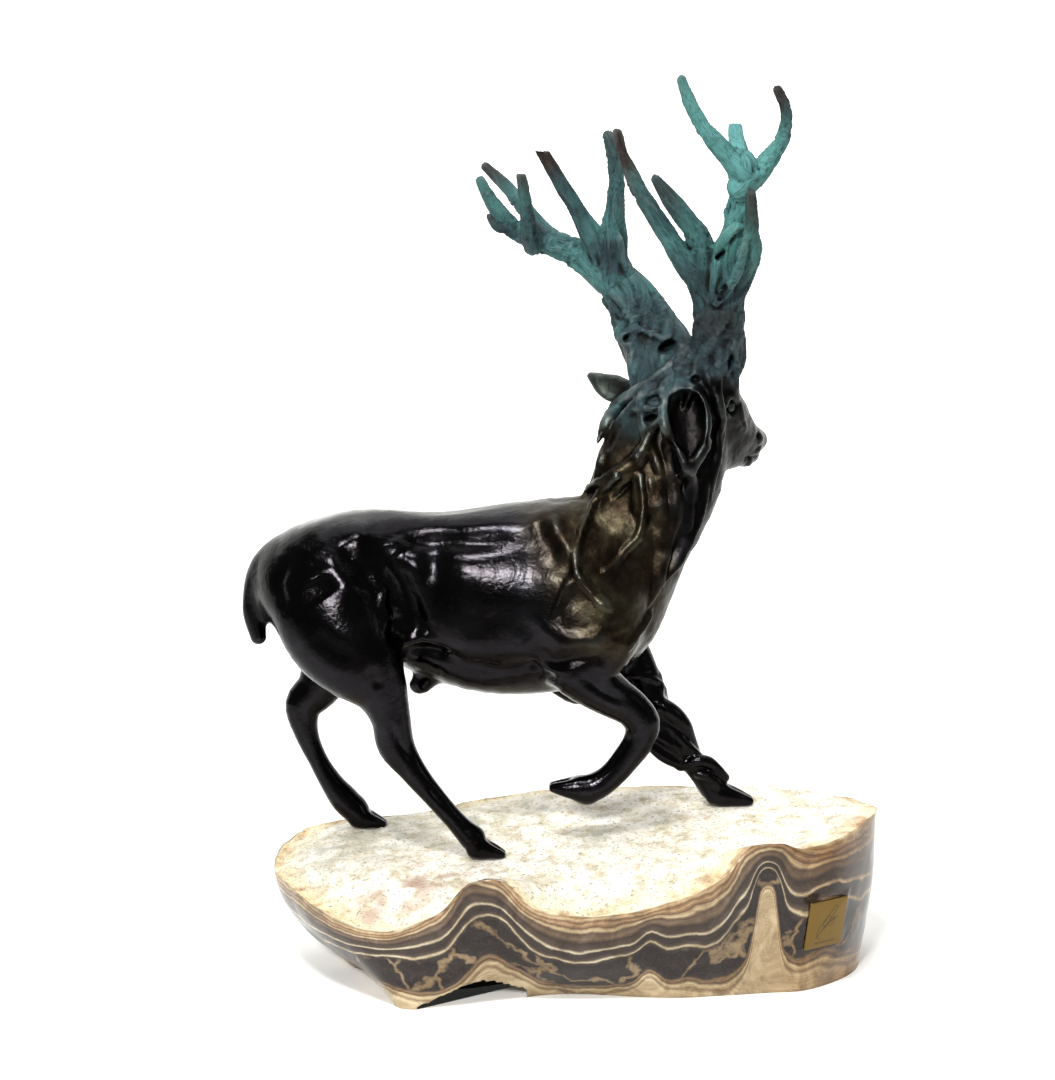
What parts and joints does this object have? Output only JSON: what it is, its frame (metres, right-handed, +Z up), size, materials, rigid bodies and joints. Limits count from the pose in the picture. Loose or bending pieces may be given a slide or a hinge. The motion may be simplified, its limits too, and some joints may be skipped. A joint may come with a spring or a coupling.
{
  "type": "bronze deer sculpture on a stone base",
  "caption": "A running stag with tall branching antlers, cast in bronze, standing on a slab of banded stone with a small brass plate.",
  "frame": {"origin": "middle of the stone base's flat underside", "axes": "+Z up, +X the way the stag runs, -Y the side with the brass plate, which the picture shows"},
  "size_m": [0.4341, 0.1984, 0.5911],
  "materials": {
    "bronze": "cast bronze, dark brown waxed patina on the body, blue-green patina on the antlers",
    "banded_stone": "banded calcite onyx, polished on its sides, rough pale crust on top",
    "brass": "satin brass"
  },
  "bodies": {
    "root": {"bronze_stag": "bronze", "stone_base": "banded_stone", "brass_plate": "brass"}
  },
  "joints": []
}
